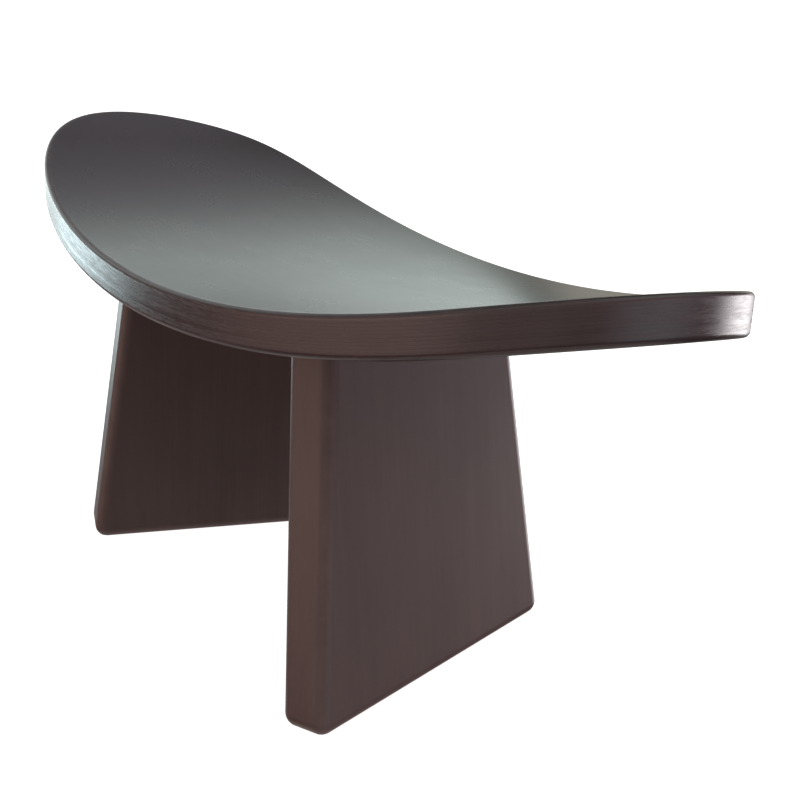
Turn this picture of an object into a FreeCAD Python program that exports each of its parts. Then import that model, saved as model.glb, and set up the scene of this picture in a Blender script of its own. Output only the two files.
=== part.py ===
import FreeCAD, Part
import math
import os

# Kneeling bench: a bent seat board on two splayed plank legs, all glued and dowelled.
# Millimetres and degrees. +Z is up, +Y is the low side of the seat, where the knees point,
# -Y is the high side, +X is the right hand of the person who sits on it.
# The origin is on the floor, under the middle of the bench.

# Seat board, as large as it looks from straight above
seat_length = 480.0
seat_depth = 202.0
seat_thickness = 17.4
veneer_thickness = 1.2
seat_edge_radius = 2.5

# Bend of the seat: one arc across the middle that runs out straight towards both ends
bend_radius = 675.0
bend_half_length = 205.0

# Height of the underside above the floor in the middle, and the slope down to the knees
underside_height = 155.0
seat_tilt = 4.1

# Outline of the seat: an oval, changed by four shares of its half length and half depth
shoulder_share = -0.1036
squareness_share = -0.0783
bow_share = 0.2165
bow_ease_share = 0.0147
outline_point_count = 48

# Legs: tapered planks, closer together under the knees than under the high side
leg_thickness = 25.0
foot_width = 166.0
leg_taper = 7.1
leg_splay = 6.7
leg_toe_in = 17.25
feet_spread = 239.0
foot_setback = 25.5
leg_edge_radius = 6.0

# Foot of a leg: sawn square to the plank, so its outer side stays clear of the floor.
# The middle of the sawn end reaches this far below the floor, and that much is planed off level.
foot_planing = 0.4

# Dowels that pin each leg to the seat
dowel_radius = 4.0
dowel_depth_in_leg = 22.0
dowel_depth_in_seat = 11.0
dowel_spacing = 38.0
dowel_chamfer = 0.8
glue_gap = 0.05
hole_end_gap = 0.8

# How far a raw blank or a cutter runs past what it trims
overrun = 30.0

UP = FreeCAD.Vector(0, 0, 1)
ALONG = FreeCAD.Vector(1, 0, 0)
CENTRE = FreeCAD.Vector(0, 0, 0)


def outline_face():
    """Face at floor level with the outline of the seat, seen from straight above."""
    raw = []
    for index in range(outline_point_count):
        turn = 2 * math.pi * index / outline_point_count
        along = math.cos(turn) + shoulder_share * math.sin(2 * turn)
        along += squareness_share * math.cos(3 * turn)
        across = math.sin(turn) + bow_share * math.cos(2 * turn)
        across += bow_ease_share * math.cos(4 * turn)
        raw.append((along, across))
    reach = max(along for along, across in raw)
    low = min(across for along, across in raw)
    high = max(across for along, across in raw)
    points = []
    for along, across in raw:
        x = seat_length / 2 * along / reach
        y = seat_depth * ((across - low) / (high - low) - 1 / 2)
        points.append(FreeCAD.Vector(x, y, 0))
    curve = Part.BSplineCurve()
    curve.interpolate(Points=points, PeriodicFlag=True)
    return Part.Face(Part.Wire([curve.toShape()]))


def bend_line(height):
    """The five points of the seat's bend at a height above the underside, left to right."""
    angle = math.asin(bend_half_length / bend_radius)
    straight = (seat_length / 2 + overrun - bend_half_length) / math.cos(angle)
    radius = bend_radius - height
    x = radius * math.sin(angle)
    z = bend_radius - radius * math.cos(angle)
    end_x = x + straight * math.cos(angle)
    end_z = z + straight * math.sin(angle)
    return [
        FreeCAD.Vector(-end_x, 0, end_z),
        FreeCAD.Vector(-x, 0, z),
        FreeCAD.Vector(0, 0, height),
        FreeCAD.Vector(x, 0, z),
        FreeCAD.Vector(end_x, 0, end_z),
    ]


def bent_layer(low, high):
    """Solid that follows the bend and slope of the seat, between two heights above its underside."""
    edges = []
    for left_end, left, middle, right, right_end in (bend_line(low), bend_line(high)):
        edges.append(Part.LineSegment(left_end, left).toShape())
        edges.append(Part.Arc(left, middle, right).toShape())
        edges.append(Part.LineSegment(right, right_end).toShape())
    for end in (0, -1):
        edges.append(Part.LineSegment(bend_line(low)[end], bend_line(high)[end]).toShape())
    section = Part.Face(Part.Wire(Part.__sortEdges__(edges)))
    reach = seat_depth / 2 + overrun
    section.translate(FreeCAD.Vector(0, -reach, 0))
    layer = section.extrude(FreeCAD.Vector(0, 2 * reach, 0))
    layer.rotate(CENTRE, ALONG, -seat_tilt)
    layer.translate(UP * underside_height)
    return layer


def seat_board():
    """The whole seat board with its edges eased, before it is parted into its layers."""
    blank = outline_face().extrude(UP * (underside_height + seat_length / 2))
    board = blank.common(bent_layer(0, seat_thickness)).Solids[0]
    rims = [edge for edge in board.Edges if not isinstance(edge.Curve, Part.Line)]
    return board.makeFillet(seat_edge_radius, rims)


def leg_directions():
    """Unit directions of the right leg: along its foot, through its thickness, up its middle."""
    toe = math.radians(leg_toe_in)
    splay = math.radians(leg_splay)
    foot = FreeCAD.Vector(-math.sin(toe), math.cos(toe), 0)
    outward = FreeCAD.Vector(math.cos(toe), math.sin(toe), 0)
    rise = UP * math.cos(splay) - outward * math.sin(splay)
    return foot, foot.cross(rise), rise


def leg_point(along, rise_height):
    """Point in the middle plane of the right leg, from the back end of its foot."""
    foot, through, rise = leg_directions()
    back_end = FreeCAD.Vector(feet_spread / 2, foot_setback - seat_depth / 2, 0)
    return back_end + foot * along + rise * rise_height


def leg_plank():
    """The right leg with its edges rounded, cut to the seat's underside, without holes."""
    foot, through, rise = leg_directions()
    height = underside_height + overrun
    inset = height * math.tan(math.radians(leg_taper))
    corners = [
        leg_point(0, -foot_planing),
        leg_point(foot_width, -foot_planing),
        leg_point(foot_width - inset, height),
        leg_point(inset, height),
    ]
    side = Part.Face(Part.makePolygon(corners + corners[:1]))
    side.translate(through * (-leg_thickness / 2))
    plank = side.extrude(through * leg_thickness)
    edges = [edge for edge in plank.Edges if edge.BoundBox.ZMin < underside_height / 2]
    plank = plank.makeFillet(leg_edge_radius, edges)
    corner = FreeCAD.Vector(0, -seat_length / 2, -overrun)
    below_floor = Part.makeBox(seat_length, seat_length, overrun, corner)
    return plank.cut([below_floor, bent_layer(0, 2 * overrun + seat_thickness)]).Solids[0]


def joint_point(along):
    """Point where a line up the middle of the right leg meets the underside of the seat."""
    tilt = math.radians(seat_tilt)
    start = leg_point(along, 0) - UP * underside_height
    rise = leg_directions()[2]
    start_z = start.z * math.cos(tilt) + start.y * math.sin(tilt) - bend_radius
    rise_z = rise.z * math.cos(tilt) + rise.y * math.sin(tilt)
    square = rise.x ** 2 + rise_z ** 2
    half_linear = start.x * rise.x + start_z * rise_z
    constant = start.x ** 2 + start_z ** 2 - bend_radius ** 2
    distance = (-half_linear - math.sqrt(half_linear ** 2 - square * constant)) / square
    return leg_point(along, distance)


def dowel_places():
    """Joint points of the right leg's dowels, by the name of their place."""
    middle = foot_width / 2
    return {
        "back": joint_point(middle - dowel_spacing),
        "middle": joint_point(middle),
        "front": joint_point(middle + dowel_spacing),
    }


def dowel(place):
    """One dowel with chamfered ends, standing across the joint at the given point."""
    rise = leg_directions()[2]
    length = dowel_depth_in_leg + dowel_depth_in_seat
    pin = Part.makeCylinder(dowel_radius, length, place - rise * dowel_depth_in_leg, rise)
    ends = [edge for edge in pin.Edges if isinstance(edge.Curve, Part.Circle)]
    return pin.makeChamfer(dowel_chamfer, ends)


def dowel_hole(place):
    """Cutter for the blind holes that one dowel is glued into, in the leg and in the seat."""
    rise = leg_directions()[2]
    length = dowel_depth_in_leg + dowel_depth_in_seat + 2 * hole_end_gap
    start = place - rise * (dowel_depth_in_leg + hole_end_gap)
    return Part.makeCylinder(dowel_radius + glue_gap, length, start, rise)


def mirrored(shape):
    """The same shape on the left side of the bench."""
    return shape.mirror(CENTRE, ALONG)


def seat_layers():
    """The seat's core and its two face veneers, with the dowel holes drilled from below."""
    board = seat_board()
    holes = [dowel_hole(place) for place in dowel_places().values()]
    board = board.cut(holes + [mirrored(hole) for hole in holes])
    core_top = seat_thickness - veneer_thickness
    return {
        "seat_core": board.common(bent_layer(veneer_thickness, core_top)),
        "seat_top_veneer": board.common(bent_layer(core_top, seat_thickness + overrun)),
        "seat_underside_veneer": board.common(bent_layer(-overrun, veneer_thickness)),
    }


def legs():
    """Both legs, with the dowel holes drilled into their top ends."""
    plank = leg_plank().cut([dowel_hole(place) for place in dowel_places().values()])
    return {"right_leg": plank, "left_leg": mirrored(plank)}


def dowels():
    """Six dowels, three for each leg."""
    pins = {}
    for name, place in dowel_places().items():
        pins["right_" + name + "_dowel"] = dowel(place)
        pins["left_" + name + "_dowel"] = mirrored(dowel(place))
    return pins


def main():
    os.makedirs("parts", exist_ok=True)
    pieces = {**seat_layers(), **legs(), **dowels()}
    for name, shape in pieces.items():
        solid = shape.Solids[0]
        solid.exportStep("parts/" + name + ".step")
        box = solid.BoundBox
        print(name, len(shape.Solids), round(solid.Volume), solid.isValid(), box)


main()
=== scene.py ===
# %% [markdown]
# # A kneeling bench in dark stained wood
# The bench is a bent oval seat on two splayed plank legs. The frame holds every piece at its real
# size and place. This lesson gives each piece the surface that the eye sees: smooth meshes that
# carry their own grain direction, and finishes made of node groups that all pieces share.

# %% Load the frame
import math

import bpy
from mathutils import Matrix, Vector


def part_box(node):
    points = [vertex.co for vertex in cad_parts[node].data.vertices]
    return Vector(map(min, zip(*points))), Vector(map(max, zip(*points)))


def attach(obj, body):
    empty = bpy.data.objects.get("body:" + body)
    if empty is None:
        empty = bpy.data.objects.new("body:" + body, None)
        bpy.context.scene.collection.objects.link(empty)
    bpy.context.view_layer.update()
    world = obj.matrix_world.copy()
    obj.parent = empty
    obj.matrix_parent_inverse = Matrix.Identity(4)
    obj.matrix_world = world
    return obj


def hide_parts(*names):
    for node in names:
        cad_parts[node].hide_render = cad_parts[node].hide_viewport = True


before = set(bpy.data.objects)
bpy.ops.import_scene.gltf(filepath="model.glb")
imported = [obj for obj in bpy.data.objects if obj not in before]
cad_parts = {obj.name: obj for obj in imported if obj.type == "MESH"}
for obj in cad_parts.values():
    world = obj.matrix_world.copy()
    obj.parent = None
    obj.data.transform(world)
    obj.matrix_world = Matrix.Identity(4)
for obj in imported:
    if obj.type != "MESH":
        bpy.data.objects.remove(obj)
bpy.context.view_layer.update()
MM = 0.001
print("frame nodes:", ", ".join(sorted(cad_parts)))

# %% [markdown]
# ## Camera
# The camera is placed first. It looks down on the bench from its high side and from beyond its
# right leg. Three directions make its matrix: where it looks from, what is right and what is up,
# with a slight roll as in a hand-held picture.

# %% Place the camera
CAMERA_TARGET = Vector((0.98, 48.94, 95.62)) * MM
CAMERA_DISTANCE = 704.3 * MM
CAMERA_AZIMUTH = math.radians(55.85)
CAMERA_ELEVATION = math.radians(19.095)
CAMERA_ROLL = math.radians(2.548)


def add_camera():
    """Adds the scene's camera and returns the level direction in which it stands."""
    data = bpy.data.cameras.new("camera")
    data.lens = 60.585
    data.sensor_width = 36.0
    camera = bpy.data.objects.new("camera", data)
    bpy.context.scene.collection.objects.link(camera)
    stands = Vector((math.sin(CAMERA_AZIMUTH), -math.cos(CAMERA_AZIMUTH), 0.0))
    back = stands * math.cos(CAMERA_ELEVATION) + Vector((0, 0, math.sin(CAMERA_ELEVATION)))
    level_right = Vector((math.cos(CAMERA_AZIMUTH), math.sin(CAMERA_AZIMUTH), 0.0))
    level_up = back.cross(level_right)
    right = level_right * math.cos(CAMERA_ROLL) + level_up * math.sin(CAMERA_ROLL)
    turn = Matrix((right, back.cross(right), back)).transposed().to_4x4()
    camera.matrix_world = Matrix.Translation(CAMERA_TARGET + back * CAMERA_DISTANCE) @ turn
    bpy.context.scene.camera = camera
    return stands


camera_side = add_camera()
print("camera stands towards", [round(part, 2) for part in camera_side])

# %% [markdown]
# ## Helpers for node trees
# Both the meshes and the finishes below are node trees, and most of their nodes are sums. A thin
# wrapper that makes a node and fills its inputs in one call keeps such a tree as readable as the
# formula it stands for. Where an input is given a socket it is linked, otherwise it is set.


# %% Node tree wrapper
class Tree:
    """A node tree with short calls for the nodes that this file uses most."""

    def __init__(self, tree):
        self.tree = tree
        self.nodes = tree.nodes
        self.links = tree.links

    def fill(self, socket, value):
        if isinstance(value, bpy.types.NodeSocket):
            self.links.new(value, socket)
        else:
            socket.default_value = value

    def node(self, kind, inputs=None, **settings):
        made = self.nodes.new(kind)
        for name, value in settings.items():
            setattr(made, name, value)
        for name, value in (inputs or {}).items():
            self.fill(made.inputs[name], value)
        return made

    def math(self, operation, *values, clamp=False):
        made = self.node("ShaderNodeMath", dict(enumerate(values)), operation=operation, use_clamp=clamp)
        return made.outputs[0]

    def vector(self, operation, *values):
        return self.node("ShaderNodeVectorMath", dict(enumerate(values)), operation=operation).outputs[0]

    def combine(self, x, y, z):
        return self.node("ShaderNodeCombineXYZ", {"X": x, "Y": y, "Z": z}).outputs[0]

    def separate(self, vector):
        return self.node("ShaderNodeSeparateXYZ", {0: vector}).outputs

    def group(self, tree, inputs):
        kind = "ShaderNodeGroup" if tree.bl_idname == "ShaderNodeTree" else "GeometryNodeGroup"
        return self.node(kind, inputs, node_tree=tree).outputs


# %% [markdown]
# ## Groups with named sockets
# A group is a formula that is built once and placed in many trees. Its sockets are made first, so
# that the nodes inside can be linked to them. Each input is given as a kind of socket with its
# usual value, and each output as a kind of socket.


# %% New group
def new_group(name, kind, inputs, outputs):
    """A node group with named sockets: inputs are name: (socket type, default), outputs name: type."""
    tree = bpy.data.node_groups.new(name, kind)
    for label, (socket_type, default) in inputs.items():
        socket = tree.interface.new_socket(label, in_out="INPUT", socket_type="NodeSocket" + socket_type)
        if default is not None:
            socket.default_value = default
    for label, socket_type in outputs.items():
        tree.interface.new_socket(label, in_out="OUTPUT", socket_type="NodeSocket" + socket_type)
    group = Tree(tree)
    group.given = group.node("NodeGroupInput").outputs
    group.result = group.node("NodeGroupOutput").inputs
    return group


# %% [markdown]
# ## Growing a mesh
# A Geometry Nodes tree is only a recipe until an object runs it. So a small seed object gets the
# tree as a modifier, the finished mesh is copied out of it, and the modifier goes. Smooth shading
# would bend the light on flat faces towards their rims, so every edge sharper than 40 degrees is
# marked as a real edge. Rounded edges have many small steps and stay smooth.

# %% Grow a mesh from a tree
SHARP_ANGLE = math.radians(40)


def grow(name, tree, values, points=()):
    """Runs a geometry tree once and keeps its result as a plain mesh object at the origin."""
    seed_mesh = bpy.data.meshes.new(name + "_seed")
    seed_mesh.from_pydata([tuple(point) for point in points], [], [])
    piece = bpy.data.objects.new(name, seed_mesh)
    bpy.context.scene.collection.objects.link(piece)
    modifier = piece.modifiers.new("grow", "NODES")
    modifier.node_group = tree
    sockets = {item.name: item.identifier for item in tree.interface.items_tree if item.in_out == "INPUT"}
    for label, value in values.items():
        modifier[sockets[label]] = value
    depsgraph = bpy.context.evaluated_depsgraph_get()
    mesh = bpy.data.meshes.new_from_object(piece.evaluated_get(depsgraph))
    mesh.name = name
    mesh.set_sharp_from_angle(angle=SHARP_ANGLE)
    piece.modifiers.remove(modifier)
    piece.data = mesh
    print(name, len(mesh.vertices), "points,", len(mesh.polygons), "faces")
    return piece


# %% [markdown]
# ## The grain of stained wood
# Under the stain the real wood shows three sizes of drawing: soft clouds a few centimetres wide
# where it drank more colour, long fibres that run with the board, and pores like tiny dashes. The
# same noise makes all three when its space is squeezed along the grain by different amounts. It
# is one group for every piece, so that seat, legs and dowels are plainly cut from like wood. The
# lacquer fills the pores of the seat's face, so there their strength is nothing.

# %% Grain group
grain_group = new_group(
    "wood grain", "ShaderNodeTree",
    {
        "Place": ("Vector", None),
        "Dark": ("Color", (0.03, 0.02, 0.02, 1.0)),
        "Light": ("Color", (0.08, 0.05, 0.05, 1.0)),
        "Fibre Contrast": ("Float", 0.5),
        "Cloud Contrast": ("Float", 0.5),
        "Pore Strength": ("Float", 1.0),
    },
    {"Color": "Color", "Fibre": "Float", "Pores": "Float"},
)


def add_grain(t):
    """Fills the grain group: clouds, two kinds of fibre and pores, all from squeezed noise."""
    place = t.given["Place"]

    def squeezed(along, across, detail, roughness=0.55, shift=0.0):
        stretched = t.vector("MULTIPLY", place, (along, across, across))
        moved = t.vector("ADD", stretched, (shift, shift * 1.7, shift * 0.6))
        noise = t.node("ShaderNodeTexNoise", {
            "Vector": moved, "Scale": 1.0, "Detail": detail, "Roughness": roughness})
        return noise.outputs["Fac"]

    clouds = squeezed(14.0, 34.0, 3.0, 0.5)
    figure = squeezed(5.0, 130.0, 4.0, 0.6, 7.0)
    fibre = squeezed(22.0, 900.0, 3.0, 0.6, 3.0)
    dashes = squeezed(160.0, 2600.0, 1.0, 0.5, 11.0)
    open_pores = t.node("ShaderNodeMapRange", {
        "Value": dashes, "From Min": 0.66, "From Max": 0.78}, clamp=True)
    pores = t.math("MULTIPLY", open_pores.outputs[0], t.given["Pore Strength"])
    streaks = t.math("ADD", t.math("MULTIPLY", figure, 0.55), t.math("MULTIPLY", fibre, 0.45))
    fibre_part = t.math("MULTIPLY", t.math("SUBTRACT", streaks, 0.5), t.given["Fibre Contrast"])
    cloud_part = t.math("MULTIPLY", t.math("SUBTRACT", clouds, 0.5), t.given["Cloud Contrast"])
    tone = t.math("ADD", t.math("ADD", fibre_part, cloud_part), 0.5)
    tone = t.math("SUBTRACT", tone, t.math("MULTIPLY", pores, 0.25), clamp=True)
    blend = t.node("ShaderNodeMix", data_type="RGBA")
    t.fill(blend.inputs["Factor"], tone)
    t.fill(blend.inputs[6], t.given["Dark"])
    t.fill(blend.inputs[7], t.given["Light"])
    t.fill(t.result["Color"], blend.outputs[2])
    t.fill(t.result["Fibre"], streaks)
    t.fill(t.result["Pores"], pores)


add_grain(grain_group)
print("grain group:", len(grain_group.nodes), "nodes")

# %% [markdown]
# ## The lacquer skin
# A thin satin lacquer lies over the stain. It sinks a little into the pores, follows the fibres,
# and keeps a very fine ripple from the spray gun. Hands make it smoother in some patches than in
# others. The group turns that into a roughness and a height, which every finish feeds to its own
# shader, because only the shader itself may hold the gloss.

# %% Lacquer group
lacquer_group = new_group(
    "satin lacquer", "ShaderNodeTree",
    {
        "Place": ("Vector", None),
        "Fibre": ("Float", 0.5),
        "Pores": ("Float", 0.0),
        "Sheen Roughness": ("Float", 0.3),
        "Patchiness": ("Float", 0.1),
        "Ripple": ("Float", 0.3),
    },
    {"Roughness": "Float", "Height": "Float"},
)


def add_lacquer(t):
    """Fills the lacquer group: an uneven gloss, and a height that follows fibres and pores."""
    place = t.given["Place"]
    patches = t.node("ShaderNodeTexNoise", {"Vector": place, "Scale": 38.0, "Detail": 4.0, "Roughness": 0.6})
    wiped_place = t.vector("MULTIPLY", place, (30.0, 260.0, 260.0))
    wiped = t.node("ShaderNodeTexNoise", {
        "Vector": wiped_place, "Scale": 1.0, "Detail": 2.0, "Distortion": 0.6})
    patch_part = t.math("MULTIPLY", patches.outputs["Fac"], 0.65)
    uneven = t.math("ADD", patch_part, t.math("MULTIPLY", wiped.outputs["Fac"], 0.35))
    change = t.math("MULTIPLY", t.math("SUBTRACT", uneven, 0.5), t.given["Patchiness"])
    rough = t.math("ADD", t.given["Sheen Roughness"], change)
    rough = t.math("ADD", rough, t.math("MULTIPLY", t.given["Pores"], 0.12), clamp=True)
    ripple = t.node("ShaderNodeTexNoise", {"Vector": place, "Scale": 520.0, "Detail": 1.0})
    height = t.math("MULTIPLY", t.given["Fibre"], 0.35)
    height = t.math("SUBTRACT", height, t.math("MULTIPLY", t.given["Pores"], 0.5))
    height = t.math("ADD", height, t.math("MULTIPLY", ripple.outputs["Fac"], t.given["Ripple"]))
    t.fill(t.result["Roughness"], rough)
    t.fill(t.result["Height"], height)


add_lacquer(lacquer_group)
print("lacquer group:", len(lacquer_group.nodes), "nodes")

# %% [markdown]
# ## Rubbed edges and a painted highlight
# Stain is wiped on and sanded between coats, so it comes out thinner on every eased edge, and
# knees and hands do the rest. The same paler colour also stands in for the thin highlight that
# the rounded edges catch, so it is partly wear and partly a painted highlight. Each mesh below
# writes down how near a point is to an edge. This group breaks that up with noise, so that the
# paler line comes and goes instead of being drawn.

# %% Rubbed edge and painted highlight group
rub_and_highlight_group = new_group(
    "rubbed edge and painted highlight", "ShaderNodeTree",
    {"Place": ("Vector", None), "Nearness": ("Float", 0.0), "Amount": ("Float", 0.5)},
    {"Mask": "Float"},
)


def add_rub_and_highlight(t):
    """Fills the rubbed edge group, worn stain and a painted highlight: how near an edge is, broken up by
    noise.
    """
    noise = t.node("ShaderNodeTexNoise", {
        "Vector": t.given["Place"], "Scale": 60.0, "Detail": 5.0, "Roughness": 0.65})
    broken = t.node("ShaderNodeMapRange", {
        "Value": noise.outputs["Fac"], "From Min": 0.35, "From Max": 0.7}, clamp=True)
    # This mask marks worn stain and also paints a highlight along the rounded edges.
    sharp = t.math("POWER", t.given["Nearness"], 1.6)
    mask = t.math("MULTIPLY", t.math("MULTIPLY", sharp, broken.outputs[0]), t.given["Amount"], clamp=True)
    t.fill(t.result["Mask"], mask)


add_rub_and_highlight(rub_and_highlight_group)
print("rubbed edge and painted highlight group:", len(rub_and_highlight_group.nodes), "nodes")

# %% [markdown]
# ## Plies on the edge of the board
# The seat's core is a stack of thin plies. Cut through and stained, they show as fine streaks that
# run level round the edge, each ply a shade of its own, with hairlines of glue between them. They
# depend on the height within the board and on a little noise that runs along the edge. End grain
# drinks the lacquer, so short flecks stay dull. That breaks up the bright reflection at the tip.

# %% Ply edge group
ply_group = new_group(
    "ply edge", "ShaderNodeTree",
    {"Place": ("Vector", None), "Ply Pitch": ("Float", 1.36 * MM)},
    {"Shade": "Float", "Glue Line": "Float", "Height": "Float", "Dullness": "Float"},
)


def add_plies(t):
    """Fills the ply edge group from the height within the board."""
    height = t.separate(t.given["Place"])["Z"]
    count = t.math("DIVIDE", height, t.given["Ply Pitch"])
    number = t.math("FLOOR", count)
    chance = t.node("ShaderNodeTexWhiteNoise", {"W": number}, noise_dimensions="1D").outputs["Value"]
    within = t.math("SUBTRACT", count, number)
    to_line = t.math("MINIMUM", within, t.math("SUBTRACT", 1.0, within))
    near_line = t.node("ShaderNodeMapRange", {
        "Value": to_line, "From Min": 0.04, "From Max": 0.16, "To Min": 1.0, "To Max": 0.0}, clamp=True)
    line = near_line.outputs[0]
    long = t.vector("MULTIPLY", t.given["Place"], (26.0, 26.0, 1500.0))
    streak_noise = t.node("ShaderNodeTexNoise", {
        "Vector": long, "Scale": 1.0, "Detail": 3.0, "Roughness": 0.6})
    streak = streak_noise.outputs["Fac"]
    shade = t.math("ADD", t.math("MULTIPLY", chance, 0.5), t.math("MULTIPLY", streak, 0.5))
    rise = t.math("SUBTRACT", t.math("MULTIPLY", shade, 0.8), t.math("MULTIPLY", line, 0.5))
    short = t.vector("MULTIPLY", t.given["Place"], (110.0, 110.0, 1600.0))
    fleck = t.node("ShaderNodeTexNoise", {"Vector": short, "Scale": 1.0, "Detail": 2.0}).outputs["Fac"]
    dull = t.math("ADD", t.math("MULTIPLY", chance, 0.25), t.math("MULTIPLY", fleck, 0.75))
    t.fill(t.result["Shade"], shade)
    t.fill(t.result["Glue Line"], line)
    t.fill(t.result["Height"], rise)
    t.fill(t.result["Dullness"], dull)


add_plies(ply_group)
print("ply group:", len(ply_group.nodes), "nodes")

# %% [markdown]
# ## Four finishes
# The seat's faces, the seat's edge, the legs and the dowels each get a material. It reads where a
# point lies in its own flat board, from an attribute that the mesh carries, so the grain follows
# the bend of the seat and the lean of a leg. Colours are written as the eye reads them on a
# screen and turned into light values by one small function.


# %% Material helpers
def screen_colour(red, green, blue):
    """A screen colour, 0 to 255, as linear light with full alpha."""
    parts = [value / 255 for value in (red, green, blue)]
    linear = [part / 12.92 if part <= 0.04045 else ((part + 0.055) / 1.055) ** 2.4 for part in parts]
    return (*linear, 1.0)


def start_finish(name, place_name):
    """A material with its shader, and the flat board place of each point."""
    material = bpy.data.materials.new(name)
    material.use_nodes = True
    t = Tree(material.node_tree)
    t.shader = t.nodes["Principled BSDF"]
    t.place = t.node("ShaderNodeAttribute", attribute_name=place_name).outputs["Vector"]
    return material, t


def mix_colour(t, factor, first, second, blend_type="MIX"):
    """The colour socket of a mix of two colours."""
    mix = t.node("ShaderNodeMix", data_type="RGBA", blend_type=blend_type)
    t.fill(mix.inputs["Factor"], factor)
    t.fill(mix.inputs[6], first)
    t.fill(mix.inputs[7], second)
    return mix.outputs[2]


def add_bump(t, height, distance):
    """Bends the shader's normal by a height that stands for this distance."""
    bump = t.node("ShaderNodeBump", {"Height": height, "Distance": distance, "Strength": 1.0})
    t.fill(t.shader.inputs["Normal"], bump.outputs["Normal"])


# %% [markdown]
# ## Stained wood
# All three dark finishes are one recipe with other numbers: the grain gives the colour, the
# lacquer gives roughness and height, and the rubbed edge mixes in a paler colour, which is partly
# worn stain and partly a painted highlight. The seat's face has the darkest stain and hardly any
# relief, so most of its brightness is what it mirrors. The legs are duller, so their stain shows.
# Only the edge of the board adds the plies.


# %% Stained wood finish
def stained_wood(name, dark, light, paler_edge_and_highlight_colour, roughness, specular, fibre, clouds, pores, relief, plies=False):
    """Stained and lacquered wood between two colours, with paler edges (worn stain and a painted highlight)
    and, if asked, plies.
    """
    material, t = start_finish(name, "board_place")
    grain = t.group(grain_group.tree, {
        "Place": t.place, "Dark": dark, "Light": light, "Fibre Contrast": fibre, "Cloud Contrast": clouds,
        "Pore Strength": pores})
    lacquer = t.group(lacquer_group.tree, {
        "Place": t.place, "Fibre": grain["Fibre"], "Pores": grain["Pores"], "Sheen Roughness": roughness,
        "Patchiness": 0.07, "Ripple": 0.25})
    nearness = t.node("ShaderNodeAttribute", attribute_name="edge_nearness").outputs["Fac"]
    rub_and_highlight = t.group(rub_and_highlight_group.tree, {"Place": t.place, "Nearness": nearness, "Amount": 0.5})
    colour = grain["Color"]
    height = lacquer["Height"]
    rough = lacquer["Roughness"]
    if plies:
        ply = t.group(ply_group.tree, {"Place": t.place})
        shaded = mix_colour(t, ply["Shade"], (0.88, 0.88, 0.88, 1.0), (1.12, 1.12, 1.12, 1.0))
        colour = mix_colour(t, 1.0, colour, shaded, "MULTIPLY")
        colour = mix_colour(t, t.math("MULTIPLY", ply["Glue Line"], 0.2), colour, dark)
        height = t.math("ADD", height, ply["Height"])
        rough = t.math("MULTIPLY_ADD", t.math("SUBTRACT", ply["Dullness"], 0.5), 0.45, rough)
    # The paler edge colour is partly worn stain and partly a painted highlight on the rounded edges.
    t.fill(t.shader.inputs["Base Color"], mix_colour(t, rub_and_highlight["Mask"], colour, paler_edge_and_highlight_colour))
    t.fill(t.shader.inputs["Roughness"], rough)
    t.shader.inputs["Specular IOR Level"].default_value = specular
    add_bump(t, height, relief)
    print(name, "has", len(t.nodes), "nodes")
    return material


# The third colour of each finish is its paler edge: worn stain, and also a painted highlight.
seat_face_finish = stained_wood(
    "stained_face_veneer", screen_colour(34, 30, 30), screen_colour(56, 49, 49), screen_colour(110, 98, 94),
    roughness=0.28, specular=0.5, fibre=0.25, clouds=0.5, pores=0.0, relief=0.002 * MM)
seat_edge_finish = stained_wood(
    "stained_ply_edge", screen_colour(57, 46, 47), screen_colour(91, 75, 76), screen_colour(116, 96, 92),
    roughness=0.25, specular=0.5, fibre=0.3, clouds=0.6, pores=0.6, relief=0.015 * MM, plies=True)
leg_finish = stained_wood(
    "stained_leg_plank", screen_colour(88, 73, 71), screen_colour(114, 96, 93), screen_colour(128, 108, 103),
    roughness=0.32, specular=0.25, fibre=0.8, clouds=0.6, pores=0.35, relief=0.02 * MM)


# %% [markdown]
# ## Bare beech
# The dowels are inside the glued joints and were never stained. They use the same grain in pale
# colours, with a plain dull roughness, because there is no lacquer on them.


# %% Bare beech finish
def bare_beech():
    """Pale wood without stain or lacquer, for the dowels."""
    material, t = start_finish("bare_beech", "board_place")
    grain = t.group(grain_group.tree, {
        "Place": t.place, "Dark": screen_colour(176, 132, 96), "Light": screen_colour(222, 184, 146),
        "Fibre Contrast": 1.2, "Cloud Contrast": 0.5})
    t.fill(t.shader.inputs["Base Color"], grain["Color"])
    t.shader.inputs["Roughness"].default_value = 0.6
    add_bump(t, grain["Fibre"], 0.05 * MM)
    return material


dowel_finish = bare_beech()
print("finishes:", ", ".join(m.name for m in (seat_face_finish, seat_edge_finish, leg_finish, dowel_finish)))

# %% [markdown]
# ## The seat's rule
# The real board is a stack of veneers, glued over a curved former and then cut to an oval. Both
# steps follow a rule, so nothing has to be sculpted. The outline is an ellipse changed by a few
# small waves. The bend is one long arc that runs out straight towards both ends, and the whole
# board slopes down towards the knees.

# %% Sizes of the seat
core_low, core_high = (Vector(corner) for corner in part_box("seat_core"))
seat_length = core_high.x - core_low.x
seat_depth = core_high.y - core_low.y
seat_thickness = 17.4 * MM
veneer_thickness = 1.2 * MM
edge_radius = 2.5 * MM
bend_radius = 675.0 * MM
bend_half_length = 205.0 * MM
underside_height = 155.0 * MM
seat_tilt = math.radians(4.1)
shoulder, squareness, bow, bow_ease = -0.1036, -0.0783, 0.2165, 0.0147
print("seat is", round(seat_length / MM, 1), "by", round(seat_depth / MM, 1), "mm")

# %% [markdown]
# ## One point of the outline
# Seen from above, the oval is flatter on its knee side and squarer in its shoulders than an
# ellipse. A few sine waves say that without a table of points. The sum is a node group of its
# own, because the wall's inward direction needs the same sum a little before and after a point.

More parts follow.
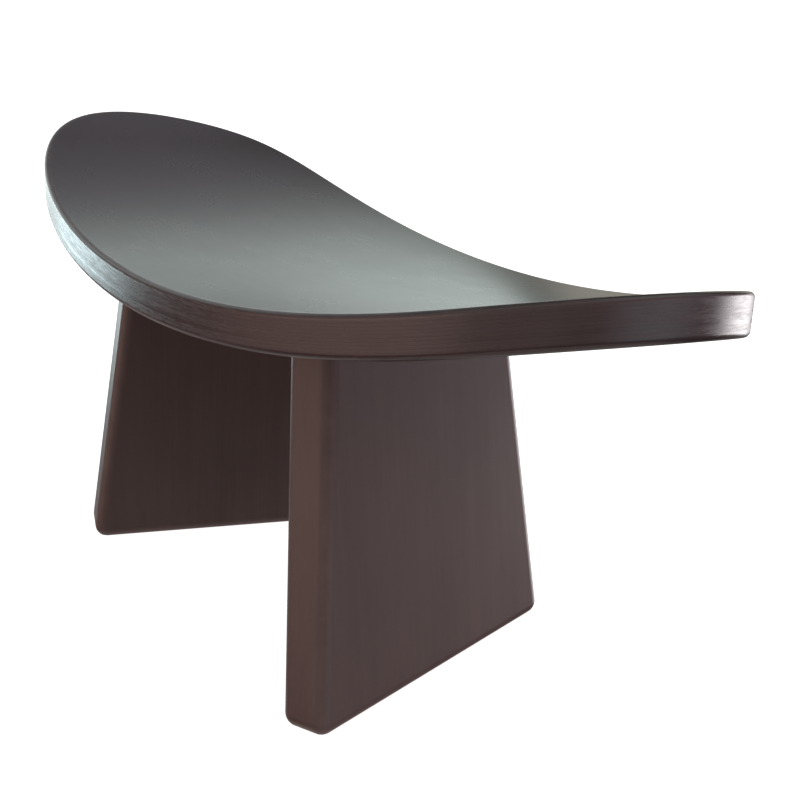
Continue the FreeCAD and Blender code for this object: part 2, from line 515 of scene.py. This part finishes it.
# %% Outline group
along_waves = [("COSINE", 1.0, 1.0), ("SINE", 2.0, shoulder), ("COSINE", 3.0, squareness)]
across_waves = [("SINE", 1.0, 1.0), ("COSINE", 2.0, bow), ("COSINE", 4.0, bow_ease)]


def wave_sum(waves, turn):
    """The sum of the waves at one turn round the outline, as a plain number."""
    functions = {"COSINE": math.cos, "SINE": math.sin}
    return sum(share * functions[wave](times * turn) for wave, times, share in waves)


LOOK_STEPS = 1440
turns = [2 * math.pi * step / LOOK_STEPS for step in range(LOOK_STEPS)]
along_reach = max(wave_sum(along_waves, turn) for turn in turns)
across_low = min(wave_sum(across_waves, turn) for turn in turns)
across_high = max(wave_sum(across_waves, turn) for turn in turns)
outline_group = new_group(
    "seat outline point", "GeometryNodeTree", {"Turn": ("Float", 0.0)}, {"Along": "Float", "Across": "Float"})


def add_wave_sum(t, label, waves, offset, scale):
    """The same sum as nodes, less an offset and scaled, linked to one output of the group."""
    total = -offset
    for wave, times, share in waves:
        height = t.math(wave, t.math("MULTIPLY", t.given["Turn"], times))
        total = t.math("ADD", t.math("MULTIPLY", height, share), total)
    t.fill(t.result[label], t.math("MULTIPLY", total, scale))


across_middle, across_width = (across_low + across_high) / 2, across_high - across_low
add_wave_sum(outline_group, "Along", along_waves, 0.0, seat_length / (2 * along_reach))
add_wave_sum(outline_group, "Across", across_waves, across_middle, seat_depth / across_width)
print("outline before scaling:", round(along_reach, 3), "half along,", round(across_width, 3), "across")

# %% [markdown]
# ## The bent layer tree
# A flat grid is rolled up like the label round a tin. One of its directions runs round the
# outline. The other starts in the middle of the lower face, runs out to the wall, climbs it and
# returns to the middle of the upper face. Two heights say which slice of the board it makes, so
# one tree gives both face veneers and the core between them. A flat copy of each point's place is
# kept as an attribute before the board is bent, and the grain is drawn on that.

# %% Bent layer tree
NEARBY_TURN = 0.001
QUARTER = 0.25
layer_tree = new_group(
    "bent seat layer", "GeometryNodeTree",
    {
        "Geometry": ("Geometry", None),
        "Low": ("Float", 0.0),
        "High": ("Float", seat_thickness),
        "Board Thickness": ("Float", seat_thickness),
        "Edge Radius": ("Float", edge_radius),
        "Bend Radius": ("Float", bend_radius),
        "Bend Half Length": ("Float", bend_half_length),
        "Tilt": ("Float", seat_tilt),
        "Underside Height": ("Float", underside_height),
        "Steps Round": ("Int", 288),
        "Cap Rings": ("Int", 40),
        "Wall Steps": ("Int", 12),
        "Material": ("Material", None),
    },
    {"Geometry": "Geometry"},
)


def add_bend(t, x, y, height):
    """Height above the floor of a point of the board, from its place and height in the flat board."""
    level_radius = t.math("SUBTRACT", t.given["Bend Radius"], height)
    end_sine = t.math("DIVIDE", t.given["Bend Half Length"], t.given["Bend Radius"])
    arc_end = t.math("MULTIPLY", level_radius, end_sine)
    reach = t.math("ABSOLUTE", x)
    on_arc = t.math("MINIMUM", reach, arc_end)
    radius_square = t.math("MULTIPLY", level_radius, level_radius)
    square = t.math("SUBTRACT", radius_square, t.math("MULTIPLY", on_arc, on_arc))
    arc_rise = t.math("SUBTRACT", t.given["Bend Radius"], t.math("SQRT", square))
    past_arc = t.math("MAXIMUM", t.math("SUBTRACT", reach, arc_end), 0.0)
    straight_rise = t.math("MULTIPLY", past_arc, t.math("TANGENT", t.math("ARCSINE", end_sine)))
    rise = t.math("DIVIDE", t.math("ADD", arc_rise, straight_rise), t.math("COSINE", t.given["Tilt"]))
    slope = t.math("MULTIPLY", y, t.math("TANGENT", t.given["Tilt"]))
    return t.math("SUBTRACT", t.math("ADD", t.given["Underside Height"], rise), slope)


def add_layer(t):
    """Fills the layer tree: a grid, rolled up to a closed slice of the bent board."""
    given = t.given
    steps_up = t.math("ADD", t.math("MULTIPLY", given["Cap Rings"], 2.0), given["Wall Steps"])
    grid = t.node("GeometryNodeMeshGrid", {
        "Vertices X": t.math("ADD", given["Steps Round"], 1.0), "Vertices Y": t.math("ADD", steps_up, 1.0)})
    place = t.separate(t.node("GeometryNodeInputPosition").outputs[0])
    # The grid is a unit square around the origin. Half a unit more makes its places run from 0 to 1.
    turn = t.math("MULTIPLY", t.math("ADD", place["X"], 0.5 + QUARTER), 2 * math.pi)
    climb = t.math("ADD", place["Y"], 0.5)

    cap_share = t.math("DIVIDE", given["Cap Rings"], steps_up)
    from_end = t.math("MINIMUM", climb, t.math("SUBTRACT", 1.0, climb))
    outward = t.math("MINIMUM", t.math("DIVIDE", from_end, cap_share), 1.0)
    left_over = t.math("SUBTRACT", 1.0, outward)
    ring = t.math("SUBTRACT", 1.0, t.math("MULTIPLY", left_over, left_over))
    wall_share = t.math("SUBTRACT", 1.0, t.math("MULTIPLY", cap_share, 2.0))
    up_wall = t.math("DIVIDE", t.math("SUBTRACT", climb, cap_share), wall_share, clamp=True)
    slice_height = t.math("SUBTRACT", given["High"], given["Low"])
    height = t.math("ADD", given["Low"], t.math("MULTIPLY", slice_height, up_wall))

    radius = given["Edge Radius"]
    to_face = t.math("MINIMUM", height, t.math("SUBTRACT", given["Board Thickness"], height))
    short = t.math("MAXIMUM", t.math("SUBTRACT", radius, to_face), 0.0)
    chord = t.math("SUBTRACT", t.math("MULTIPLY", radius, radius), t.math("MULTIPLY", short, short))
    inset = t.math("SUBTRACT", radius, t.math("SQRT", t.math("MAXIMUM", chord, 0.0)))

    here = t.group(outline_group.tree, {"Turn": turn})
    before = t.group(outline_group.tree, {"Turn": t.math("SUBTRACT", turn, NEARBY_TURN)})
    after = t.group(outline_group.tree, {"Turn": t.math("ADD", turn, NEARBY_TURN)})
    run_x = t.math("SUBTRACT", after["Along"], before["Along"])
    run_y = t.math("SUBTRACT", after["Across"], before["Across"])
    run = t.math("SQRT", t.math("ADD", t.math("MULTIPLY", run_x, run_x), t.math("MULTIPLY", run_y, run_y)))
    inset_share = t.math("DIVIDE", inset, run)
    rim_x = t.math("SUBTRACT", here["Along"], t.math("MULTIPLY", run_y, inset_share))
    rim_y = t.math("ADD", here["Across"], t.math("MULTIPLY", run_x, inset_share))
    x = t.math("MULTIPLY", rim_x, ring)
    y = t.math("MULTIPLY", rim_y, ring)

    rim_length = t.node("ShaderNodeVectorMath", {0: t.combine(rim_x, rim_y, 0.0)}, operation="LENGTH")
    rim_reach = rim_length.outputs["Value"]
    in_from_rim = t.math("MULTIPLY", t.math("SUBTRACT", 1.0, ring), rim_reach)
    fading = t.math("SUBTRACT", 1.0, t.math("DIVIDE", in_from_rim, radius), clamp=True)
    nearness = t.math("MULTIPLY", t.math("DIVIDE", short, radius), fading)

    placed = t.node("GeometryNodeStoreNamedAttribute", {
        "Geometry": grid.outputs["Mesh"], "Name": "board_place", "Value": t.combine(x, y, height)},
        data_type="FLOAT_VECTOR", domain="POINT")
    marked = t.node("GeometryNodeStoreNamedAttribute", {
        "Geometry": placed.outputs[0], "Name": "edge_nearness", "Value": nearness},
        data_type="FLOAT", domain="POINT")
    moved = t.node("GeometryNodeSetPosition", {
        "Geometry": marked.outputs[0], "Position": t.combine(x, y, add_bend(t, x, y, height))})
    closed = t.node("GeometryNodeMergeByDistance", {"Geometry": moved.outputs[0], "Distance": 0.001 * MM})
    smooth = t.node("GeometryNodeSetShadeSmooth", {"Geometry": closed.outputs[0]})
    real = t.node("GeometryNodeRealizeInstances", {"Geometry": smooth.outputs[0]})
    dressed = t.node("GeometryNodeSetMaterial", {"Geometry": real.outputs[0], "Material": given["Material"]})
    t.fill(t.result["Geometry"], dressed.outputs[0])


add_layer(layer_tree)
print("bent layer tree:", len(layer_tree.nodes), "nodes")

# %% [markdown]
# ## Three slices of one board
# The board is glued up from a core and two face veneers, and each is a piece of its own in the
# frame. The tree runs three times, each with its own two heights. The core shows only its wall,
# so it gets fewer rings on its faces and more steps up the wall, whose ends are rounded.

# %% Grow the seat's three layers
core_top = seat_thickness - veneer_thickness
seat_layers = {
    "seat_underside_veneer": {"Low": 0.0, "High": veneer_thickness, "Material": seat_face_finish},
    "seat_core": {
        "Low": veneer_thickness, "High": core_top, "Cap Rings": 10, "Wall Steps": 60,
        "Material": seat_edge_finish},
    "seat_top_veneer": {"Low": core_top, "High": seat_thickness, "Material": seat_face_finish},
}
for node_name, values in seat_layers.items():
    layer = grow("bent_" + node_name, layer_tree.tree, values)
    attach(layer, "root")
    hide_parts(node_name)

# %% [markdown]
# ## The legs
# Each leg is one plank, sawn to a taper. A router has gone round its whole outline, and only the
# top end, which is glued to the seat, is left square. The bottom corners are a hair rounder than
# the router's own radius, so that the profile has room to turn there. The plank leans outwards
# and turns its knee-side edge inwards. Its foot is sawn square to the plank, so it stands on a
# strip along the inner side, planed level, while the outer side stays just clear of the floor.

# %% Sizes of a leg
leg_thickness = 25.0 * MM
foot_width = 166.0 * MM
leg_taper = math.radians(7.1)
leg_splay = math.radians(6.7)
leg_toe_in = math.radians(17.25)
leg_edge_radius = 6.0 * MM
foot_corner_radius = leg_edge_radius + 0.6 * MM
foot_planing = 0.4 * MM
foot_back = Vector((239.0 * MM / 2, 25.5 * MM - seat_depth / 2, 0.0))
foot_run = Vector((-math.sin(leg_toe_in), math.cos(leg_toe_in), 0.0))
outward = Vector((math.cos(leg_toe_in), math.sin(leg_toe_in), 0.0))
rise_run = Vector((0, 0, math.cos(leg_splay))) - outward * math.sin(leg_splay)
through = foot_run.cross(rise_run)
SLIDE_ROUNDS = 12
CORNER_STEPS = 12
HALF_SOLE_STEPS = 6
TOP_STEPS = 14
print("leg leans along", [round(part, 3) for part in rise_run])


# %% [markdown]
# ## From the flat plank to its place
# A leg is easiest to draw as a plank that lies flat: a width along the foot, a height up the
# plank and a depth through it. One function turns such a place into a point of the standing leg.
# The top end has to meet the bent seat, so a second one slides a place up the plank until it
# touches. The seat's height there depends on the place itself, so it is found in a few rounds.


# %% Places on a plank
def underside_at(x, y):
    """Height of the seat's underside above the floor."""
    arc_x = min(abs(x), bend_half_length)
    rise = bend_radius - math.sqrt(bend_radius ** 2 - arc_x ** 2)
    rise += (abs(x) - arc_x) * math.tan(math.asin(bend_half_length / bend_radius))
    return underside_height + rise / math.cos(seat_tilt) - y * math.tan(seat_tilt)


def plank_place(width, up, depth):
    """Point of the right leg from its place in the flat plank: along the foot, up, through."""
    middle = foot_back + foot_run * (foot_width / 2 + width) + rise_run * (up - foot_planing)
    return middle + through * depth


def slide_to_seat(width, up, depth):
    """The place in the plank where a line up the tapering plank meets the seat's underside."""
    share = width / (foot_width / 2 - up * math.tan(leg_taper))
    for attempt in range(SLIDE_ROUNDS):
        place = plank_place(width, up, depth)
        up += (underside_at(place.x, place.y) - place.z) / rise_run.z
        width = share * (foot_width / 2 - up * math.tan(leg_taper))
    return width, up, depth


# %% [markdown]
# ## A shell swept along the plank's outline
# One open path runs down the back edge of the plank, round its corner, along the sole and up the
# other edge. At every stop the same small profile crosses the thickness: a quarter round, a flat
# and another quarter round. An extra point just inside each rounding keeps the broad faces flat
# in the light. What is left open are the two broad faces and the top, and polygons close them.


# %% Path and profile
def outline_path(steps=10):
    """Stops down one edge, along the sole and up the other edge: (width, up, outward normal)."""
    sine, cosine = math.sin(leg_taper), math.cos(leg_taper)
    half_width = foot_width / 2
    middle_up = foot_corner_radius
    middle_width = -half_width + foot_corner_radius * (1 + sine) / cosine
    arc_top = foot_corner_radius * (1 + sine)
    levels = [underside_height - (underside_height - arc_top) * step / steps for step in range(steps)]
    half = [(-half_width + up * sine / cosine, up, (-cosine, sine)) for up in levels]
    for step in range(CORNER_STEPS + 1):
        angle = math.pi - leg_taper + (math.pi / 2 + leg_taper) * step / CORNER_STEPS
        normal = (math.cos(angle), math.sin(angle))
        width = middle_width + foot_corner_radius * normal[0]
        half.append((width, middle_up + foot_corner_radius * normal[1], normal))
    for step in range(1, HALF_SOLE_STEPS):
        half.append((middle_width * (1 - step / HALF_SOLE_STEPS), 0.0, (0.0, -1.0)))
    other_half = [(-width, up, (-normal[0], normal[1])) for width, up, normal in reversed(half)]
    return half + [(0.0, 0.0, (0.0, -1.0))] + other_half


def edge_profile(steps=8, hold=0.5 * MM):
    """Points across the thickness: (inset from the outline, depth, how near to a rounded edge)."""
    half_thickness = leg_thickness / 2
    flat = half_thickness - leg_edge_radius
    half = [(leg_edge_radius + hold, half_thickness, 0.0)]
    for step in range(steps + 1):
        angle = math.pi / 2 * step / steps
        inset = leg_edge_radius * (1 - math.sin(angle))
        half.append((inset, flat + leg_edge_radius * math.cos(angle), math.sin(math.pi * step / steps)))
    half.append((0.0, flat - hold, 0.0))
    return half + [(0.0, 0.0, 0.0)] + [(inset, -depth, near) for inset, depth, near in reversed(half)]


# %% [markdown]
# ## From the sweep to a whole leg
# The sweep's first and last stops are slid up to the seat. The top end is filled by rings that
# shrink towards its middle and follow the bent underside, so no gap shows there. The left leg is
# the mirror image of the right one. Its faces are reversed, so that they still point outwards,
# and its grain is read from another place, so that the two legs aren't twins.


# %% Build a leg
def leg_points():
    """Points of the right leg's shell, stop by stop, and the rings that close its top."""
    path, profile = outline_path(), edge_profile()
    points = []
    for stop, (width, up, normal) in enumerate(path):
        for inset, depth, near in profile:
            spot = (width - normal[0] * inset, up - normal[1] * inset, depth)
            if stop in (0, len(path) - 1):
                spot = slide_to_seat(*spot)
            points.append((*spot, near))
    count, last = len(profile), (len(path) - 1) * len(profile)
    inner_width = -points[0][0]
    far_top, near_top = [], []
    for depth, names in ((leg_thickness / 2, far_top), (-leg_thickness / 2, near_top)):
        for step in range(1, TOP_STEPS):
            names.append(len(points))
            width = inner_width * (2 * step / TOP_STEPS - 1)
            points.append((*slide_to_seat(width, underside_height, depth), 0.0))
    top_loop = list(range(count - 1, -1, -1)) + far_top + list(range(last, last + count)) + near_top[::-1]
    rings = [top_loop]
    for shrink in (0.66, 0.33):
        ring = []
        for index in top_loop:
            width, up, depth, near = points[index]
            ring.append(len(points))
            spot = slide_to_seat(width * shrink, underside_height, depth * shrink)
            points.append((*spot, 0.0))
        rings.append(ring)
    return points, count, len(path), far_top, near_top, rings


def leg_faces(count, stops, far_top, near_top, rings):
    """Faces between the stops, the two broad faces and the rings of the top."""
    faces = []
    for stop in range(stops - 1):
        for step in range(count - 1):
            first, second = stop * count + step, (stop + 1) * count + step
            faces.append((first, first + 1, second + 1, second))
    faces.append([stop * count for stop in range(stops)] + far_top[::-1])
    faces.append([stop * count + count - 1 for stop in range(stops - 1, -1, -1)] + near_top)
    for outer, inner in zip(rings, rings[1:]):
        for step in range(len(outer)):
            after = (step + 1) % len(outer)
            faces.append((outer[step], outer[after], inner[after], inner[step]))
    faces.append(list(rings[-1]))
    return faces


def build_leg(name, mirror):
    """The right leg, or its mirror image, as an object with its grain places."""
    points, *parts = leg_points()
    faces = leg_faces(*parts)
    side = -1.0 if mirror else 1.0
    if mirror:
        faces = [tuple(reversed(face)) for face in faces]
    places = [plank_place(*point[:3]) for point in points]
    mesh = bpy.data.meshes.new(name)
    mesh.from_pydata([(place.x * side, place.y, max(place.z, 0.0)) for place in places], [], faces)
    mesh.attributes.new("board_place", "FLOAT_VECTOR", "POINT")
    mesh.attributes.new("edge_nearness", "FLOAT", "POINT")
    grain_shift = 0.4 if mirror else 0.0
    for index, (width, up, depth, near) in enumerate(points):
        mesh.attributes["board_place"].data[index].vector = (up, width, depth + grain_shift)
        mesh.attributes["edge_nearness"].data[index].value = near
    mesh.shade_smooth()
    mesh.set_sharp_from_angle(angle=SHARP_ANGLE)
    mesh.materials.append(leg_finish)
    piece = bpy.data.objects.new(name, mesh)
    bpy.context.scene.collection.objects.link(piece)
    print(name, len(mesh.vertices), "points,", len(mesh.polygons), "faces")
    return piece


for side_name, mirror in (("right", False), ("left", True)):
    leg = build_leg(side_name + "_plank_leg", mirror)
    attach(leg, "root")
    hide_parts(side_name + "_leg")

# %% [markdown]
# ## The dowels
# Six beech dowels pin the legs to the seat. They are hidden once the bench is glued up, but each
# is a real part. A dowel is a short line with a star-like section swept along it: the flutes let
# air and glue out of the hole, and the ends are thinner where they are chamfered. The tree copies
# one dowel to every place and leans it with its leg.

# %% Fluted dowel tree
DOWEL_STOPS = 67
POINTS_PER_FLUTE = 6.0
dowel_tree = new_group(
    "fluted dowels", "GeometryNodeTree",
    {
        "Geometry": ("Geometry", None),
        "Radius": ("Float", 4.0 * MM),
        "Length": ("Float", 33.0 * MM),
        "Chamfer": ("Float", 0.8 * MM),
        "Flutes": ("Int", 20),
        "Flute Depth": ("Float", 0.3 * MM),
        "Lean": ("Vector", (-0.11, -0.03, 1.0)),
        "Material": ("Material", None),
    },
    {"Geometry": "Geometry"},
)


def add_dowels(t):
    """Fills the dowel tree: one fluted pin, copied to every point and leant with its leg."""
    given = t.given
    half = t.math("DIVIDE", given["Length"], 2.0)
    line = t.node("GeometryNodeCurvePrimitiveLine", {
        "Start": t.combine(0.0, 0.0, t.math("MULTIPLY", half, -1.0)), "End": t.combine(0.0, 0.0, half)})
    steps = t.node("GeometryNodeResampleCurve", {"Curve": line.outputs[0], "Count": DOWEL_STOPS})
    place = t.separate(t.node("GeometryNodeInputPosition").outputs[0])
    to_end = t.math("SUBTRACT", half, t.math("ABSOLUTE", place["Z"]))
    cut_back = t.math("MAXIMUM", t.math("SUBTRACT", given["Chamfer"], to_end), 0.0)
    thin = t.math("SUBTRACT", 1.0, t.math("DIVIDE", cut_back, given["Radius"]))
    spine = t.node("GeometryNodeSetCurveRadius", {"Curve": steps.outputs[0], "Radius": thin})
    circle = t.node("GeometryNodeCurvePrimitiveCircle", {
        "Resolution": t.math("MULTIPLY", given["Flutes"], POINTS_PER_FLUTE), "Radius": given["Radius"]})
    spot = t.node("GeometryNodeInputPosition").outputs[0]
    parts = t.separate(spot)
    angle = t.math("ARCTAN2", parts["Y"], parts["X"])
    wave = t.math("COSINE", t.math("MULTIPLY", angle, given["Flutes"]))
    groove = t.math("MAXIMUM", wave, 0.0)
    pull = t.math("DIVIDE", t.math("MULTIPLY", groove, given["Flute Depth"]), given["Radius"])
    shrink = t.math("SUBTRACT", 1.0, pull)
    star_spot = t.vector("MULTIPLY", spot, t.combine(shrink, shrink, shrink))
    star = t.node("GeometryNodeSetPosition", {"Geometry": circle.outputs[0], "Position": star_spot})
    pin = t.node("GeometryNodeCurveToMesh", {
        "Curve": spine.outputs[0], "Profile Curve": star.outputs[0], "Fill Caps": True})
    pin_place = t.separate(t.node("GeometryNodeInputPosition").outputs[0])
    drawn = t.node("GeometryNodeStoreNamedAttribute", {
        "Geometry": pin.outputs[0], "Name": "board_place",
        "Value": t.combine(pin_place["Z"], pin_place["X"], pin_place["Y"])},
        data_type="FLOAT_VECTOR", domain="POINT")
    flat = t.node("GeometryNodeSetShadeSmooth", {"Geometry": drawn.outputs[0], "Shade Smooth": False})
    side = t.math("SIGN", t.separate(t.node("GeometryNodeInputPosition").outputs[0])["X"])
    lean = t.vector("MULTIPLY", given["Lean"], t.combine(side, 1.0, 1.0))
    turn = t.node("FunctionNodeAlignRotationToVector", {"Vector": lean}, axis="Z")
    copies = t.node("GeometryNodeInstanceOnPoints", {
        "Points": given["Geometry"], "Instance": flat.outputs[0], "Rotation": turn.outputs[0]})
    real = t.node("GeometryNodeRealizeInstances", {"Geometry": copies.outputs[0]})
    dressed = t.node("GeometryNodeSetMaterial", {"Geometry": real.outputs[0], "Material": given["Material"]})
    t.fill(t.result["Geometry"], dressed.outputs[0])


add_dowels(dowel_tree)
print("fluted dowel tree:", len(dowel_tree.nodes), "nodes")

# %% [markdown]
# ## Six dowels in one go
# Each dowel's middle is read from its box in the frame, and the six middles are the seed points.
# The lean is the direction up the leg's middle, mirrored by the tree for the left side.

# %% Grow the dowels
dowel_rows = ("back", "middle", "front")
dowel_names = [side + "_" + row + "_dowel" for side in ("right", "left") for row in dowel_rows]
dowel_middles = [(Vector(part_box(name)[0]) + Vector(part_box(name)[1])) / 2 for name in dowel_names]
dowels = grow("fluted_dowels", dowel_tree.tree, {"Lean": rise_run, "Material": dowel_finish}, dowel_middles)
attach(dowels, "root")
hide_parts(*dowel_names)

# %% [markdown]
# ## The floor
# A pale floor runs out of sight on all sides. A light of its own makes it almost white, so the
# bench leaves no more than a trace of a shadow on it. The floor is there for the eye alone and
# gives the wood neither light nor a reflection, because the wood gets both from the room that is
# drawn further down.

# %% Floor
floor_mesh = bpy.data.meshes.new("floor")
reach = 30.0
floor_corners = [(-reach, -reach, 0), (reach, -reach, 0), (reach, reach, 0), (-reach, reach, 0)]
floor_mesh.from_pydata(floor_corners, [], [(0, 1, 2, 3)])
floor = bpy.data.objects.new("floor", floor_mesh)
bpy.context.scene.collection.objects.link(floor)
floor_paint = bpy.data.materials.new("pale_floor")
floor_paint.use_nodes = True
floor_shader = floor_paint.node_tree.nodes["Principled BSDF"]
floor_shader.inputs["Base Color"].default_value = (0.8, 0.8, 0.8, 1.0)
floor_shader.inputs["Roughness"].default_value = 0.95
floor_shader.inputs["Specular IOR Level"].default_value = 0.0
floor_shader.inputs["Emission Color"].default_value = (1.0, 1.0, 1.0, 1.0)
floor_shader.inputs["Emission Strength"].default_value = 0.96
floor_mesh.materials.append(floor_paint)
floor.visible_glossy = False
floor.visible_diffuse = False
floor.visible_shadow = False
print("floor is", 2 * reach, "m wide")

# %% [markdown]
# ## One soft opening
# Lacquered wood looks like what it mirrors, so the room matters as much as the stain. A room for
# this bench is a handful of soft patches of light: walls, windows, ceiling and ground. Each is the
# same group, a mask that is one inside a range of directions and fades out over its rim. Height is
# the upward part of a direction: -1 is straight down, 0 the horizon and 1 straight up.

# %% Opening group
opening_group = new_group(
    "wall opening", "ShaderNodeTree",
    {
        "Direction": ("Vector", None),
        "Facing": ("Vector", (1.0, 0.0, 0.0)),
        "Half Width": ("Float", 30.0),
        "Softness": ("Float", 3.0),
        "Low": ("Float", 0.0),
        "High": ("Float", 0.3),
        "Fade": ("Float", 0.03),
    },
    {"Mask": "Float"},
)


def add_opening(t):
    """Fills the opening group: a soft range of directions round the room and up and down."""
    given = t.given
    level = t.vector("MULTIPLY", given["Direction"], (1.0, 1.0, 0.0))
    flat = t.vector("NORMALIZE", level)
    along = t.node("ShaderNodeVectorMath", {0: flat, 1: given["Facing"]}, operation="DOT_PRODUCT")
    towards = t.math("MINIMUM", along.outputs["Value"], 0.99999)
    angle = t.math("MULTIPLY", t.math("ARCCOSINE", towards), 180 / math.pi)

    def step(value, edge, soft):
        rise = t.node("ShaderNodeMapRange", {
            "Value": value,
            "From Min": t.math("SUBTRACT", edge, soft),
            "From Max": t.math("ADD", edge, soft),
        }, clamp=True, interpolation_type="SMOOTHSTEP")
        return rise.outputs[0]

    up = t.separate(given["Direction"])["Z"]
    inside = t.math("SUBTRACT", 1.0, step(angle, given["Half Width"], given["Softness"]))
    above = step(up, given["Low"], given["Fade"])
    below = t.math("SUBTRACT", 1.0, step(up, given["High"], given["Fade"]))
    t.fill(t.result["Mask"], t.math("MULTIPLY", inside, t.math("MULTIPLY", above, below)))


add_opening(opening_group)
print("opening group:", len(opening_group.nodes), "nodes")

# %% [markdown]
# ## The room
# First comes the wall that the seat's face mirrors: bright and slightly green, dimmer above and
# brown beside. Three windows just below the horizon draw the bright ends of the seat's edge. The
# edge and the legs catch the dim patches on the other sides. A wide soft ceiling light and the
# ground fill up the rest. The levels were fitted to the tones of the picture, region by region.
# The eye doesn't see the room: for rays from the camera the world is plain white.

# %% Room light
openings = {
    # azimuth, half width and softness in degrees; low, high and fade in height; light
    "bright wall": (171.0, 29.5, 0.8, -0.18, 0.355, 0.03, (1.20, 1.36, 1.30)),
    "wall above": (171.0, 29.5, 0.8, 0.355, 0.75, 0.05, (0.41, 0.38, 0.43)),
    "foot of the wall": (176.0, 28.0, 3.0, -0.10, 0.06, 0.05, (0.28, 0.25, 0.22)),
    "brown wall beside": (125.8, 14.0, 0.8, -0.13, 0.45, 0.05, (0.67, 0.63, 0.54)),
    "left window": (192.5, 9.0, 1.0, -0.258, -0.10, 0.02, (3.85, 4.8, 5.0)),
    "dim left window": (175.0, 8.5, 1.0, -0.258, -0.10, 0.02, (1.2, 1.3, 1.3)),
    "right window": (97.0, 14.5, 13.0, -0.40, -0.08, 0.05, (4.9, 4.7, 4.75)),
    "low patch": (25.0, 25.0, 15.0, -0.50, -0.05, 0.10, (0.25, 0.58, 0.62)),
    "reddish patch": (20.0, 30.0, 20.0, -0.25, 0.12, 0.22, (1.05, 0.56, 0.60)),
    "patch behind": (70.0, 25.0, 15.0, -0.25, 0.12, 0.22, (0.36, 0.30, 0.36)),
    "patch in front": (-60.0, 40.0, 25.0, -0.30, 0.10, 0.22, (0.62, 0.58, 0.53)),
    "warm patch": (-110.0, 25.0, 15.0, -0.30, 0.10, 0.22, (1.74, 1.18, 1.02)),
    "ceiling": (-45.0, 130.0, 18.0, 0.24, 1.40, 0.14, (0.50, 0.49, 0.49)),
    "ceiling behind": (50.0, 50.0, 22.0, 0.50, 1.40, 0.12, (0.60, 0.60, 0.60)),
    "ground behind": (165.0, 45.0, 20.0, -0.78, -0.36, 0.10, (0.45, 0.39, 0.38)),
    "ground below": (0.0, 360.0, 1.0, -3.00, -0.78, 0.10, (0.60, 0.52, 0.51)),
}


def add_room(t):
    """Adds up the openings' light, and shows plain white to the camera."""
    direction = t.node("ShaderNodeTexCoord").outputs["Generated"]
    light = (0.0, 0.0, 0.0)
    for azimuth, half_width, softness, low, high, fade, colour in openings.values():
        facing = (math.cos(math.radians(azimuth)), math.sin(math.radians(azimuth)), 0.0)
        mask = t.group(opening_group.tree, {
            "Direction": direction, "Facing": facing, "Half Width": half_width, "Softness": softness,
            "Low": low, "High": high, "Fade": fade})["Mask"]
        light = t.vector("MULTIPLY_ADD", mask, colour, light)
    seen = t.node("ShaderNodeLightPath").outputs["Is Camera Ray"]
    t.fill(t.nodes["Background"].inputs["Color"], mix_colour(t, seen, light, (1.0, 1.0, 1.0, 1.0)))


bpy.context.scene.view_settings.view_transform = "Standard"
room = bpy.data.worlds.new("room")
room.use_nodes = True
bpy.context.scene.world = room
add_room(Tree(room.node_tree))
print("room:", ", ".join(openings))
